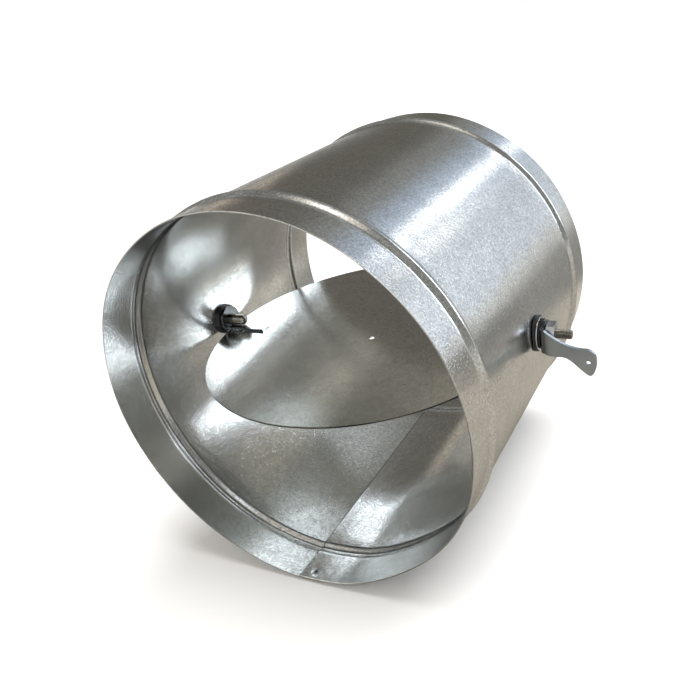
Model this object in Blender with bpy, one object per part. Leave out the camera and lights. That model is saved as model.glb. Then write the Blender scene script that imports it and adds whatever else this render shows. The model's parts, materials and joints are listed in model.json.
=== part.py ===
"""Round volume control damper: a rolled galvanised duct section with a flat disc blade inside.

The duct's axis lies along Y, with the front opening at -Y. The blade hangs just below a shaft line
along X, made of two short pivots: a plain pin at -X and a threaded stud at +X that carries the lever.
The origin is on the duct's axis, halfway along the duct. All sizes are in metres.
"""

import math

import bmesh
import bpy
from mathutils import Matrix, Vector

# Duct section, rolled from one sheet and lapped along the bottom
TUBE_DIAMETER = 0.250
TUBE_LENGTH = 0.248
CASING_SHEET = 0.0008
BEAD_FROM_EDGE = 0.030
BEAD_WIDTH = 0.011
BEAD_HEIGHT = 0.0022
SEAM_ANGLE = math.radians(265)
SEAM_LAP = 0.016
SEAM_STEP_SHARE = 0.25
SEAM_RETURN_SHARE = 1.5
FLAT_FROM_SEAM = math.radians(38)
FLAT_SPREAD = math.radians(14)
FLAT_DEPTH = 0.0035

# Shaft line and blade
SHAFT_FROM_FRONT = 0.1205
SHAFT_ABOVE_AXIS = 0.0055
BLADE_TILT = math.radians(3.2)
BLADE_SHEET = 0.0012
BLADE_CLEARANCE = 0.0052
BLADE_HOLE_DIAMETER = 0.0045
BLADE_HOLE_ACROSS = 0.008
BLADE_HOLE_FORWARD = 0.005

# Pivots and the brackets that hold the blade to them
PIVOT_DIAMETER = 0.008
PIVOT_INSIDE_LENGTH = 0.021
PIVOT_DOME_RISE = 0.0034
STUD_DIAMETER = 0.0062
STUD_FLATS = 0.0050
STUD_SHOULDER_INSIDE_HUB = 0.0010
STUD_OUTSIDE_LENGTH = 0.0215
STUD_CHAMFER = 0.0006
PIN_OUTSIDE_LENGTH = 0.0115
PIN_CHAMFER = 0.0008
BRACKET_SHEET = 0.0015
BRACKET_EYE_DIAMETER = 0.0205
TONGUE_WIDTH = 0.010
TONGUE_LENGTH = 0.0325
TONGUE_BELOW_SHAFT = 0.0052
JOGGLE_HEIGHT = 0.0006
JOGGLE_START = 0.0120
JOGGLE_LENGTH = 0.0040

# Bushes, washers and nuts, in the order they are stacked on a pivot
BUSH_FLANGE_DIAMETER = 0.023
BUSH_FLANGE_THICKNESS = 0.0035
BUSH_CHAMFER = 0.0007
BUSH_HUB_DIAMETER = 0.012
BUSH_RING_THICKNESS = 0.0010
INNER_WASHER_DIAMETER = 0.019
INNER_WASHER_THICKNESS = 0.0008
PLAIN_WASHER_DIAMETER = 0.021
PLAIN_WASHER_THICKNESS = 0.0008
RUBBER_WASHER_DIAMETER = 0.019
RUBBER_WASHER_THICKNESS = 0.0012
NUT_ACROSS_FLATS = 0.014
NUT_THICKNESS = 0.0060
NUT_FACE_INSET_SHARE = 1.3

# Lever, stamped from plate and folded once
LEVER_PLATE = 0.0020
LEVER_EYE_RADIUS = 0.0088
LEVER_FOLD_RADIUS = 0.0022
LEVER_FOLD_FROM_SHAFT = 0.0100
LEVER_REACH = 0.0308
LEVER_ROOT_TOP = 0.0074
LEVER_ROOT_BOTTOM = -0.0082
LEVER_NECK_BOTTOM = -0.0100
LEVER_TIP_TOP = -0.0039
LEVER_TIP_BOTTOM = -0.0230
LEVER_HOLE_DIAMETER = 0.0030
LEVER_HOLE_FROM_TIP = 0.0050
LEVER_ROOT_SHARE = 0.22
LEVER_FALL_SHARE = 0.80
LEVER_FLARE_START_SHARE = 0.33
LEVER_FLARE_END_SHARE = 0.95
LEVER_TIP_SHARE = 0.18
LEVER_TIP_CLOSING = 0.97
LEVER_TIP_MIDDLE_SHARE = 0.62
LEVER_HOLE_BELOW_SHAFT = 0.0131

# Gaps between pieces that would touch, how far drills run past a face, and round pieces' facets
GAP = 0.0003
STACK_GAP = 0.0002
BORE_GAP = 0.00025
DRILL_OVERRUN = 0.003
CASING_FACETS = 88
BLADE_FACETS = 96
SMALL_FACETS = 32

# Places worked out from the sizes above
OUTER_RADIUS = TUBE_DIAMETER / 2
INNER_RADIUS = OUTER_RADIUS - CASING_SHEET
SHAFT_Y = SHAFT_FROM_FRONT - TUBE_LENGTH / 2
SHAFT_Z = SHAFT_ABOVE_AXIS
BLADE_RADIUS = INNER_RADIUS - BLADE_CLEARANCE
BLADE_TOP = -(TONGUE_BELOW_SHAFT + BRACKET_SHEET + GAP)
PIVOT_RADIUS = PIVOT_DIAMETER / 2
STUD_RADIUS = STUD_DIAMETER / 2


def clear_scene():
    """Removes every object of the startup scene."""
    for obj in list(bpy.data.objects):
        bpy.data.objects.remove(obj, do_unlink=True)


def finish_material(name, colour, roughness, metallic):
    """A Principled material with one colour."""
    material = bpy.data.materials.new(name)
    material.use_nodes = True
    shader = material.node_tree.nodes["Principled BSDF"]
    shader.inputs["Base Color"].default_value = (*colour, 1.0)
    shader.inputs["Roughness"].default_value = roughness
    shader.inputs["Metallic"].default_value = metallic
    material.diffuse_color = (*colour, 1.0)
    return material


def add_object(name, mesh_data, material, parent=None, smooth_angle=30):
    """Makes a mesh object from a bmesh, with its faces out and its round faces smooth."""
    bmesh.ops.recalc_face_normals(mesh_data, faces=mesh_data.faces[:])
    mesh = bpy.data.meshes.new(name)
    mesh_data.to_mesh(mesh)
    mesh_data.free()
    mesh.shade_smooth()
    mesh.set_sharp_from_angle(angle=math.radians(smooth_angle))
    mesh.materials.append(material)
    obj = bpy.data.objects.new(name, mesh)
    bpy.context.scene.collection.objects.link(obj)
    obj.parent = parent
    return obj


def add_cutter(name, mesh_data, parent=None):
    """A shape that only cuts others."""
    bmesh.ops.recalc_face_normals(mesh_data, faces=mesh_data.faces[:])
    mesh = bpy.data.meshes.new(name)
    mesh_data.to_mesh(mesh)
    mesh_data.free()
    obj = bpy.data.objects.new(name, mesh)
    bpy.context.scene.collection.objects.link(obj)
    obj.parent = parent
    obj.hide_render = True
    obj.display_type = "WIRE"
    return obj


def combine(obj, other, operation):
    """Adds an exact Boolean of obj with other."""
    modifier = obj.modifiers.new(other.name, "BOOLEAN")
    modifier.operation = operation
    modifier.solver = "EXACT"
    modifier.object = other


def grid_of_rings(rings, close_ends):
    """A closed mesh from rings of points, each ring joined to the next.

    With close_ends the first and last rings are capped, otherwise the last joins the first.
    """
    shape = bmesh.new()
    rows = [[shape.verts.new(point) for point in ring] for ring in rings]
    pairs = list(zip(rows, rows[1:]))
    if not close_ends:
        pairs.append((rows[-1], rows[0]))
    for low, high in pairs:
        count = len(low)
        for i in range(count):
            shape.faces.new((low[i], low[(i + 1) % count], high[(i + 1) % count], high[i]))
    if close_ends:
        shape.faces.new(rows[0])
        shape.faces.new(rows[-1][::-1])
    return shape


def turned(outline, facets=SMALL_FACETS, at=(0.0, 0.0), hollow=True):
    """A shape turned about a line along X through (y, z): outline holds (x, radius) pairs.

    A hollow shape's outline runs round its section; a solid one's runs from end cap to end cap.
    """
    rings = []
    for x, radius in outline:
        ring = []
        for i in range(facets):
            angle = 2 * math.pi * i / facets
            ring.append((x, at[0] + radius * math.cos(angle), at[1] + radius * math.sin(angle)))
        rings.append(ring)
    return grid_of_rings(rings, close_ends=not hollow)


def ring_outline(start, thickness, inner, outer):
    """Section of a flat washer or ring."""
    end = start + thickness
    return [(start, inner), (start, outer), (end, outer), (end, inner)]


def smooth_step(value):
    """0 below 0, 1 above 1 and an even curve between."""
    t = min(max(value, 0.0), 1.0)
    return t * t * (3 - 2 * t)


def wall_distance(radius, z):
    """Distance from the duct's middle plane to a wall of this radius, at height z."""
    return math.sqrt(radius * radius - z * z)


def bead_rise(y):
    """How far a bead lifts the sheet outwards at y: one rounded ridge near each end."""
    from_end = TUBE_LENGTH / 2 - abs(y)
    share = (from_end - BEAD_FROM_EDGE) / (BEAD_WIDTH / 2)
    if abs(share) >= 1:
        return 0.0
    return BEAD_HEIGHT * math.cos(share * math.pi / 2) ** 2


def casing_stations():
    """Points round the duct's section: (angle, outer radius, inner radius).

    They start at the inner layer's edge. Over the lap the wall is two sheets thick. Past the outer
    layer's edge the inner sheet comes back out to the full radius, and a flat left by the rolls
    sinks the wall there a little.
    """
    lap = SEAM_LAP / OUTER_RADIUS
    edge = SEAM_STEP_SHARE * CASING_SHEET / OUTER_RADIUS
    come_back = SEAM_RETURN_SHARE * lap
    turns = [0.0, lap / 2, lap, lap + edge]
    turns += [lap + come_back * i / 3 for i in (1, 2, 3)]
    rest = 2 * math.pi - edge - turns[-1]
    count = round(CASING_FACETS * rest / (2 * math.pi))
    first = turns[-1]
    turns += [first + rest * (i + 1) / count for i in range(count)]
    stations = []
    for turn in turns:
        angle = SEAM_ANGLE + turn
        from_flat = (turn - FLAT_FROM_SEAM) / FLAT_SPREAD
        sink = FLAT_DEPTH * math.exp(-from_flat * from_flat / 2)
        outer = OUTER_RADIUS - sink
        layers = 1
        if turn <= lap:
            layers = 2
        else:
            outer -= CASING_SHEET * (1 - smooth_step((turn - lap - edge) / come_back))
        stations.append((angle, outer, outer - layers * CASING_SHEET))
    return stations


def casing_rows():
    """Places along the duct where the wall gets a row of points."""
    bead = BEAD_WIDTH / 2
    half = TUBE_LENGTH / 2
    front = [-half, *(-half + BEAD_FROM_EDGE + bead * i / 3 for i in range(-3, 4))]
    middle = [SHAFT_Y - BUSH_FLANGE_DIAMETER, SHAFT_Y + BUSH_FLANGE_DIAMETER]
    return front + middle + [-y for y in reversed(front)]


def add_casing(material):
    """The duct wall: one sheet, beaded near both ends, lapped and holed for the two pivots."""
    stations = casing_stations()
    rings = []
    for angle, outer, inner in stations:
        ring = []
        for radius, rows in ((outer, casing_rows()), (inner, reversed(casing_rows()))):
            for y in rows:
                lifted = radius + bead_rise(y)
                ring.append((lifted * math.cos(angle), y, lifted * math.sin(angle)))
        rings.append(ring)
    casing = add_object("casing", grid_of_rings(rings, close_ends=False), material)
    hole = (BUSH_HUB_DIAMETER / 2) + GAP
    reach = OUTER_RADIUS + BEAD_FROM_EDGE
    drill = turned([(-reach, hole), (reach, hole)], at=(SHAFT_Y, SHAFT_Z), hollow=False)
    combine(casing, add_cutter("casing_drill", drill), "DIFFERENCE")
    return casing


def add_blade(material, pivot):
    """The flat disc, with one small hole near the shaft line.

    Its centre is as far behind the shaft as the shaft is above the duct's axis, so that the closed
    blade is central in the duct.
    """
    shape = bmesh.new()
    place = Matrix.Translation((0, SHAFT_ABOVE_AXIS, BLADE_TOP - BLADE_SHEET / 2))
    bmesh.ops.create_cone(
        shape,
        cap_ends=True,
        segments=BLADE_FACETS,
        radius1=BLADE_RADIUS,
        radius2=BLADE_RADIUS,
        depth=BLADE_SHEET,
        matrix=place,
    )
    blade = add_object("blade", shape, material, pivot)
    punch = bmesh.new()
    bmesh.ops.create_cone(
        punch,
        cap_ends=True,
        segments=SMALL_FACETS // 2,
        radius1=BLADE_HOLE_DIAMETER / 2,
        radius2=BLADE_HOLE_DIAMETER / 2,
        depth=4 * BLADE_SHEET,
        matrix=Matrix.Translation((BLADE_HOLE_ACROSS, -BLADE_HOLE_FORWARD, place.translation.z)),
    )
    combine(blade, add_cutter("blade_punch", punch, pivot), "DIFFERENCE")
    return blade


def ribbon(stations):
    """A bent strip: each station holds four corner points, and the ends are capped."""
    return grid_of_rings(stations, close_ends=True)


def bracket_path(start):
    """Side view of a bracket, as (x, z) of its outer face and its sheet's direction, eye to tongue.

    start is the distance of its upright leg's outer face from the duct's middle.
    """
    radius = BRACKET_EYE_DIAMETER / 2
    tongue_top = -TONGUE_BELOW_SHAFT
    raised = tongue_top + JOGGLE_HEIGHT
    steps = 9
    path = []
    for i in range(steps):
        # Starts just below the top, where the eye has some width, and ends just above its middle
        height = radius * math.cos(math.pi / 2 * (i + 0.35) / (steps - 0.5))
        path.append((start - BRACKET_SHEET / 2, height, (0.0, -1.0)))
    for share in (0.3, 0.6, 0.9):
        path.append((start - BRACKET_SHEET / 2, raised * share, (0.0, -1.0)))
    corner = (start - BRACKET_SHEET / 2, raised - BRACKET_SHEET / 2)
    path.append((*corner, (-math.sqrt(0.5), -math.sqrt(0.5))))
    level = corner[1]
    path.append((start - 2 * BRACKET_SHEET, level, (-1.0, 0.0)))
    slope = Vector((-JOGGLE_LENGTH, -JOGGLE_HEIGHT)).normalized()
    path.append((start - JOGGLE_START, level, tuple((slope + Vector((-1, 0))).normalized())))
    low = level - JOGGLE_HEIGHT
    path.append(
        (start - JOGGLE_START - JOGGLE_LENGTH, low, tuple((slope + Vector((-1, 0))).normalized()))
    )
    path.append((start - TONGUE_LENGTH, low, (-1.0, 0.0)))
    return path


def bracket_half_width(height, on_leg):
    """Half the strip's width: round at the eye, narrowing below the pivot to the tongue."""
    tongue = TONGUE_WIDTH / 2
    if not on_leg:
        return tongue
    radius = BRACKET_EYE_DIAMETER / 2
    round_half = math.sqrt(radius * radius - height * height)
    narrowing = smooth_step(-height / TONGUE_BELOW_SHAFT)
    return round_half + (tongue - round_half) * narrowing


def add_bracket(name, side, start, material, pivot):
    """Round eye on the pivot, folded and joggled into a flat tongue that lies on the blade."""
    stations = []
    for x, z, (run, drop) in bracket_path(start):
        on_leg = run == 0.0
        half = bracket_half_width(z, on_leg)
        corner = abs(run) > 0.5 and abs(drop) > 0.5
        away = BRACKET_SHEET / 2 * (math.sqrt(2) if corner else 1)
        near = (side * (x - drop * away), z + run * away)
        far = (side * (x + drop * away), z - run * away)
        stations.append(
            [
                (near[0], -half, near[1]),
                (near[0], half, near[1]),
                (far[0], half, far[1]),
                (far[0], -half, far[1]),
            ]
        )
    bracket = add_object(name, ribbon(stations), material, pivot, 20)
    bore = PIVOT_RADIUS + BORE_GAP
    drill_ends = (side * (start - BRACKET_SHEET - DRILL_OVERRUN), side * (start + DRILL_OVERRUN))
    drill = turned([(x, bore) for x in drill_ends], hollow=False)
    combine(bracket, add_cutter(name + "_drill", drill, pivot), "DIFFERENCE")
    return bracket


def add_inner_bush(name, side, flange_face, end, material):
    """Flanged bush pushed in from inside; the flange's back follows the curved wall."""
    bore = PIVOT_RADIUS + BORE_GAP
    hub = BUSH_HUB_DIAMETER / 2
    rim = BUSH_FLANGE_DIAMETER / 2
    outline = [
        (flange_face, bore),
        (flange_face, rim - BUSH_CHAMFER),
        (flange_face + BUSH_CHAMFER, rim),
        (None, rim),
        (None, (rim + hub) / 2),
        (None, hub),
        (end, hub),
        (end, bore),
    ]
    rings = []
    for x, radius in outline:
        ring = []
        for i in range(SMALL_FACETS):
            angle = 2 * math.pi * i / SMALL_FACETS
            z = SHAFT_Z + radius * math.sin(angle)
            seat = wall_distance(INNER_RADIUS, z) - GAP
            ring.append((side * (seat if x is None else x), SHAFT_Y + radius * math.cos(angle), z))
        rings.append(ring)
    return add_object(name, grid_of_rings(rings, close_ends=False), material)


def add_bush_ring(name, side, face, material):
    """Ring snapped on the bush's hub from outside; its back follows the curved wall."""
    bore = BUSH_HUB_DIAMETER / 2 + BORE_GAP
    rim = BUSH_FLANGE_DIAMETER / 2
    rings = []
    stations = ((True, bore), (True, (bore + rim) / 2), (True, rim), (False, rim), (False, bore))
    for seated, radius in stations:
        ring = []
        for i in range(SMALL_FACETS):
            angle = 2 * math.pi * i / SMALL_FACETS
            z = SHAFT_Z + radius * math.sin(angle)
            x = wall_distance(OUTER_RADIUS, z) + GAP if seated else face
            ring.append((side * x, SHAFT_Y + radius * math.cos(angle), z))
        rings.append(ring)
    return add_object(name, grid_of_rings(rings, close_ends=False), material)


def add_washer(name, side, start, thickness, diameter, shaft_radius, material, pivot):
    """Flat ring on a shaft of this radius, from start outwards."""
    outline = ring_outline(side * start, side * thickness, shaft_radius + BORE_GAP, diameter / 2)
    return add_object(name, turned(outline), material, pivot)


def add_nut(name, side, start, shaft_radius, material, pivot):
    """Hexagon nut with its corners turned off at both ends."""
    corner = NUT_ACROSS_FLATS / math.sqrt(3)
    end = start + NUT_THICKNESS
    hexagon = turned([(side * start, corner), (side * end, corner)], facets=6, hollow=False)
    nut = add_object(name, hexagon, material, pivot, 20)
    chamfer = corner - NUT_ACROSS_FLATS / 2
    dome = [
        (side * start, corner - NUT_FACE_INSET_SHARE * chamfer),
        (side * (start + chamfer / 2), corner + chamfer / 4),
        (side * (end - chamfer / 2), corner + chamfer / 4),
        (side * end, corner - NUT_FACE_INSET_SHARE * chamfer),
    ]
    combine(nut, add_cutter(name + "_dome", turned(dome, hollow=False), pivot), "INTERSECT")
    bore = shaft_radius + BORE_GAP
    drill = [(side * (start - DRILL_OVERRUN), bore), (side * (end + DRILL_OVERRUN), bore)]
    combine(nut, add_cutter(name + "_drill", turned(drill, hollow=False), pivot), "DIFFERENCE")
    return nut


def flatted_ring(x, radius, half_flats):
    """Points round a circle whose front and back are cut to flats."""
    ring = []
    for i in range(SMALL_FACETS):
        angle = 2 * math.pi * i / SMALL_FACETS
        y = radius * math.cos(angle)
        ring.append((x, min(max(y, -half_flats), half_flats), radius * math.sin(angle)))
    return ring


def domed_end():
    """Rounded end of a pivot: (distance from its tip, radius) pairs."""
    steps = 6
    pairs = []
    for i in range(1, steps + 1):
        turn = math.pi / 2 * i / steps
        pairs.append((PIVOT_DOME_RISE * (1 - math.cos(turn)), PIVOT_RADIUS * math.sin(turn)))
    return pairs


def add_idle_pin(inner_end, outer_end, material, pivot):
    """Plain pivot with a rounded inner end and a chamfered outer end."""
    outline = [(-inner_end - rise, radius) for rise, radius in domed_end()]
    outline += [(-outer_end + PIN_CHAMFER, PIVOT_RADIUS), (-outer_end, PIVOT_RADIUS - PIN_CHAMFER)]
    return add_object("idle_pin", turned(outline, hollow=False), material, pivot)


def add_drive_shaft(inner_end, shoulder, flats_start, outer_end, material, pivot):
    """Drive pivot: full size where it runs in the bush, then a threaded stud with two flats."""
    half = STUD_FLATS / 2
    rings = [flatted_ring(inner_end + rise, radius, radius) for rise, radius in domed_end()]
    rings.append(flatted_ring(shoulder, PIVOT_RADIUS, PIVOT_RADIUS))
    rings.append(flatted_ring(shoulder, STUD_RADIUS, STUD_RADIUS))
    rings.append(flatted_ring(flats_start, STUD_RADIUS, STUD_RADIUS))
    rings.append(flatted_ring(flats_start + GAP, STUD_RADIUS, half))
    rings.append(flatted_ring(outer_end - STUD_CHAMFER, STUD_RADIUS, half))
    rings.append(flatted_ring(outer_end, STUD_RADIUS - STUD_CHAMFER, half))
    return add_object("drive_shaft", grid_of_rings(rings, close_ends=True), material, pivot)


def lever_edges(share):
    """Top and bottom of the lever's arm at a share of its reach, 0 at the fold and 1 at the tip.

    The top falls in a hollow curve to the tip's top. The bottom eases down behind the fold, runs
    along the neck and flares down. Both close in over the last part to round the tip off.
    """
    left = 1 - min(share / LEVER_FALL_SHARE, 1.0)
    top = LEVER_TIP_TOP + (LEVER_ROOT_TOP - LEVER_TIP_TOP) * left * left
    flare_length = LEVER_FLARE_END_SHARE - LEVER_FLARE_START_SHARE
    flare = smooth_step((share - LEVER_FLARE_START_SHARE) / flare_length)
    bottom = LEVER_NECK_BOTTOM + (LEVER_TIP_BOTTOM - LEVER_NECK_BOTTOM) * flare
    corner = min(share / LEVER_ROOT_SHARE, 1.0)
    quarter_round = math.sqrt(corner * (2 - corner))
    bottom += (LEVER_ROOT_BOTTOM - LEVER_NECK_BOTTOM) * (1 - quarter_round)
    into_tip = max((share - 1 + LEVER_TIP_SHARE) / LEVER_TIP_SHARE, 0.0)
    close_in = 1 - math.sqrt(1 - (LEVER_TIP_CLOSING * into_tip) ** 2)
    middle = bottom + LEVER_TIP_MIDDLE_SHARE * (top - bottom)
    return top + (middle - top) * close_in, bottom + (middle - bottom) * close_in


def lever_stations(start):
    """Corner points along the lever: round eye, base plate, fold and drooping arm."""
    plate = LEVER_PLATE
    mid = start + plate / 2
    fold_y = -LEVER_FOLD_FROM_SHAFT
    stations = []

    def add(x, y, across, top, bottom):
        near = (x - across[0] * plate / 2, y - across[1] * plate / 2)
        far = (x + across[0] * plate / 2, y + across[1] * plate / 2)
        stations.append([(*near, bottom), (*near, top), (*far, top), (*far, bottom)])

    steps = 9
    for i in range(steps):
        # Starts and stops just short of the quarter circle's ends, so that no point is shared
        y = LEVER_EYE_RADIUS * math.cos(math.pi / 2 * (i + 0.3) / (steps - 0.4))
        half = math.sqrt(LEVER_EYE_RADIUS**2 - y * y)
        add(mid, y, (1.0, 0.0), half, -half)
    bend_start = fold_y + LEVER_FOLD_RADIUS
    for share in (0.25, 0.5, 0.75, 1.0):
        blend = smooth_step(share)
        top = LEVER_EYE_RADIUS + (LEVER_ROOT_TOP - LEVER_EYE_RADIUS) * blend
        bottom = -LEVER_EYE_RADIUS + (LEVER_ROOT_BOTTOM + LEVER_EYE_RADIUS) * blend
        add(mid, bend_start * share, (1.0, 0.0), top, bottom)
    fold_steps = 5
    for i in range(1, fold_steps + 1):
        turn = math.pi / 2 * i / fold_steps
        x = mid + LEVER_FOLD_RADIUS * (1 - math.cos(turn))
        y = bend_start - LEVER_FOLD_RADIUS * math.sin(turn)
        add(x, y, (math.cos(turn), math.sin(turn)), LEVER_ROOT_TOP, LEVER_ROOT_BOTTOM)
    arm_start = mid + LEVER_FOLD_RADIUS
    arm_steps = 18
    for i in range(1, arm_steps + 1):
        share = (1 - math.cos(math.pi * i / arm_steps)) / 2
        top, bottom = lever_edges(share)
        add(arm_start + LEVER_REACH * share, fold_y, (0.0, 1.0), top, bottom)
    return stations


def add_lever(start, material, pivot):
    """Folded lever with a flatted hole on the stud and a small hole near its tip."""
    lever = add_object("lever", ribbon(lever_stations(start)), material, pivot, 35)
    radius = STUD_RADIUS + BORE_GAP
    half = STUD_FLATS / 2 + BORE_GAP
    ends = (start - DRILL_OVERRUN, start + LEVER_PLATE + DRILL_OVERRUN)
    punch = grid_of_rings([flatted_ring(x, radius, half) for x in ends], close_ends=True)
    combine(lever, add_cutter("lever_punch", punch, pivot), "DIFFERENCE")
    hole_x = start + LEVER_PLATE / 2 + LEVER_FOLD_RADIUS + LEVER_REACH - LEVER_HOLE_FROM_TIP
    pilot = bmesh.new()
    bmesh.ops.create_cone(
        pilot,
        cap_ends=True,
        segments=SMALL_FACETS // 2,
        radius1=LEVER_HOLE_DIAMETER / 2,
        radius2=LEVER_HOLE_DIAMETER / 2,
        depth=3 * LEVER_PLATE,
        matrix=Matrix.Translation((hole_x, -LEVER_FOLD_FROM_SHAFT, -LEVER_HOLE_BELOW_SHAFT))
        @ Matrix.Rotation(math.pi / 2, 4, "X"),
    )
    combine(lever, add_cutter("lever_pilot", pilot, pivot), "DIFFERENCE")
    return lever


def build():
    """Makes every piece, from the duct wall inwards and then out along each pivot."""
    galvanised = finish_material("galvanised_sheet", (0.62, 0.62, 0.60), 0.35, 1.0)
    blade_sheet = finish_material("galvanised_blade_sheet", (0.58, 0.57, 0.55), 0.38, 1.0)
    zinc_plate = finish_material("zinc_plated_steel", (0.55, 0.57, 0.60), 0.32, 1.0)
    bright_zinc = finish_material("bright_zinc_fastener", (0.78, 0.79, 0.80), 0.22, 1.0)
    plain_steel = finish_material("plain_steel_bar", (0.42, 0.40, 0.37), 0.35, 1.0)
    nylon = finish_material("black_nylon", (0.03, 0.03, 0.032), 0.45, 0.0)
    rubber = finish_material("black_rubber", (0.022, 0.022, 0.022), 0.75, 0.0)

    add_casing(galvanised)

    pivot = bpy.data.objects.new("blade_pivot", None)
    bpy.context.scene.collection.objects.link(pivot)
    pivot.location = (0, SHAFT_Y, SHAFT_Z)
    pivot.rotation_euler = (BLADE_TILT, 0, 0)
    add_blade(blade_sheet, pivot)

    wall = OUTER_RADIUS
    flange_face = INNER_RADIUS - BUSH_FLANGE_THICKNESS
    inner_washer = flange_face - STACK_GAP - INNER_WASHER_THICKNESS
    bracket_face = inner_washer - STACK_GAP
    ring_face = wall + GAP + BUSH_RING_THICKNESS
    hub_end = ring_face - STACK_GAP
    plain_washer = ring_face + STACK_GAP
    rubber_washer = plain_washer + PLAIN_WASHER_THICKNESS + STACK_GAP
    clamp_start = rubber_washer + RUBBER_WASHER_THICKNESS + STACK_GAP
    pivot_inner_end = INNER_RADIUS - PIVOT_INSIDE_LENGTH

    for name, side, shaft_radius in (("idle", -1, PIVOT_RADIUS), ("drive", 1, STUD_RADIUS)):
        add_inner_bush(name + "_inner_bush", side, flange_face, hub_end, nylon)
        add_bush_ring(name + "_outer_bush", side, ring_face, nylon)
        add_bracket(name + "_bracket", side, bracket_face, zinc_plate, pivot)
        washer = (inner_washer, INNER_WASHER_THICKNESS, INNER_WASHER_DIAMETER, PIVOT_RADIUS)
        add_washer(name + "_inner_washer", side, *washer, bright_zinc, pivot)
        washer = (plain_washer, PLAIN_WASHER_THICKNESS, PLAIN_WASHER_DIAMETER, shaft_radius)
        add_washer(name + "_plain_washer", side, *washer, bright_zinc, pivot)
        washer = (rubber_washer, RUBBER_WASHER_THICKNESS, RUBBER_WASHER_DIAMETER, shaft_radius)
        add_washer(name + "_rubber_washer", side, *washer, rubber, pivot)

    add_idle_pin(pivot_inner_end, wall + PIN_OUTSIDE_LENGTH, plain_steel, pivot)
    add_nut("idle_nut", -1, clamp_start, PIVOT_RADIUS, bright_zinc, pivot)

    shoulder = hub_end - STUD_SHOULDER_INSIDE_HUB
    stud_end = wall + STUD_OUTSIDE_LENGTH
    add_drive_shaft(pivot_inner_end, shoulder, rubber_washer, stud_end, plain_steel, pivot)
    add_lever(clamp_start, zinc_plate, pivot)
    nut_start = clamp_start + LEVER_PLATE + STACK_GAP
    add_nut("lock_nut", 1, nut_start, STUD_RADIUS, bright_zinc, pivot)


clear_scene()
build()
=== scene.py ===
import json
import math

import bmesh
import bpy
import numpy as np
from mathutils import Matrix, Vector


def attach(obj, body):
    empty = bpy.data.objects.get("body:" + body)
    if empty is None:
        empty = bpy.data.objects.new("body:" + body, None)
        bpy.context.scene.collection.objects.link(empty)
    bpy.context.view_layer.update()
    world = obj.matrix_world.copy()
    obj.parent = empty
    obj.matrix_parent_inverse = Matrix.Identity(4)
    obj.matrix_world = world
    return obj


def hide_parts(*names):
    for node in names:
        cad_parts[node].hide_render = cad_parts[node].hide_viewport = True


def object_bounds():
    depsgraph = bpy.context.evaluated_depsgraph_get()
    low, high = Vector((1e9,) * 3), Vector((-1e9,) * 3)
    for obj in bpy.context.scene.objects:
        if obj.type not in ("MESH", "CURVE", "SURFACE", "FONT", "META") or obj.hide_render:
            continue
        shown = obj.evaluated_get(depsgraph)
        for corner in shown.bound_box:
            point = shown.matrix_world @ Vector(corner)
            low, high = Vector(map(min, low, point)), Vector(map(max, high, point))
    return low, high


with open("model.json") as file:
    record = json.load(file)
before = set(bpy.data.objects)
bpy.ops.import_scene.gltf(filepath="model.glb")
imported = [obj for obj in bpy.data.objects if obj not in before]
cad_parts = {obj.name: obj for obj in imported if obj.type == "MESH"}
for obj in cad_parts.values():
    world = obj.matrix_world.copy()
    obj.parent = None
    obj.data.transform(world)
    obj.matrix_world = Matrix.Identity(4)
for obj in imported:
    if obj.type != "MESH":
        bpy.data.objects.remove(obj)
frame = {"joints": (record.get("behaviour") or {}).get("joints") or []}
cad_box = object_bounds()


# The photograph's view: from in front of the open end, to the right of it and above, close enough
# for the far rim to look much smaller than the near one. The camera leans a little to the right.

EYE = (0.2458, -0.3993, 0.2000)
EYE_RIGHT = (0.8839, 0.4380, -0.1640)
EYE_UP = (-0.0759, 0.4804, 0.8737)
LENS = 36.65
SENSOR = 36.0
LENS_SHIFT = 0.0429

camera_data = bpy.data.cameras.new("photo_camera")
camera_data.lens = LENS
camera_data.sensor_width = SENSOR
camera_data.shift_x = -LENS_SHIFT
camera_data.shift_y = LENS_SHIFT
camera_data.clip_start = 0.01
camera_data.clip_end = 60.0
camera = bpy.data.objects.new("photo_camera", camera_data)
bpy.context.scene.collection.objects.link(camera)
right = Vector(EYE_RIGHT).normalized()
up = (Vector(EYE_UP) - right * Vector(EYE_UP).dot(right)).normalized()
turn = Matrix((right, up, right.cross(up))).transposed().to_4x4()
camera.matrix_world = Matrix.Translation(EYE) @ turn
bpy.context.scene.camera = camera


# The room: a plain pale floor under the duct and a soft pale studio round it. The metal mirrors it,
# so it has a tall bright window behind the duct, two more behind the camera, smaller lights and dim
# stretches of wall and floor. A lamp that the metal doesn't show lights the floor.

FLOOR_Z = cad_box[0].z
FLOOR_SIZE = 24.0
FLOOR_PALE = "#fbfaf9"
LAMP_STRENGTH = 3.25
LAMP_SPREAD = math.radians(50)
LAMP_PLACE = (0.25, 0.2, 1.0)


def tone(code, strength=1.0):
    """A colour from its sRGB hex code, turned to linear light and made stronger or weaker."""
    parts = [int(code[i : i + 2], 16) / 255 for i in (1, 3, 5)]
    linear = [p / 12.92 if p <= 0.04045 else ((p + 0.055) / 1.055) ** 2.4 for p in parts]
    return (*(strength * value for value in linear), 1.0)


def add(tree, kind, inputs=None, **settings):
    """Adds a shader node: settings are its properties, inputs its values or sockets to read."""
    made = tree.nodes.new("ShaderNode" + kind)
    for key, value in settings.items():
        setattr(made, key, value)
    for socket, value in (inputs or {}).items():
        if isinstance(value, bpy.types.NodeSocket):
            tree.links.new(value, made.inputs[socket])
        else:
            made.inputs[socket].default_value = value
    return made


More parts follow.
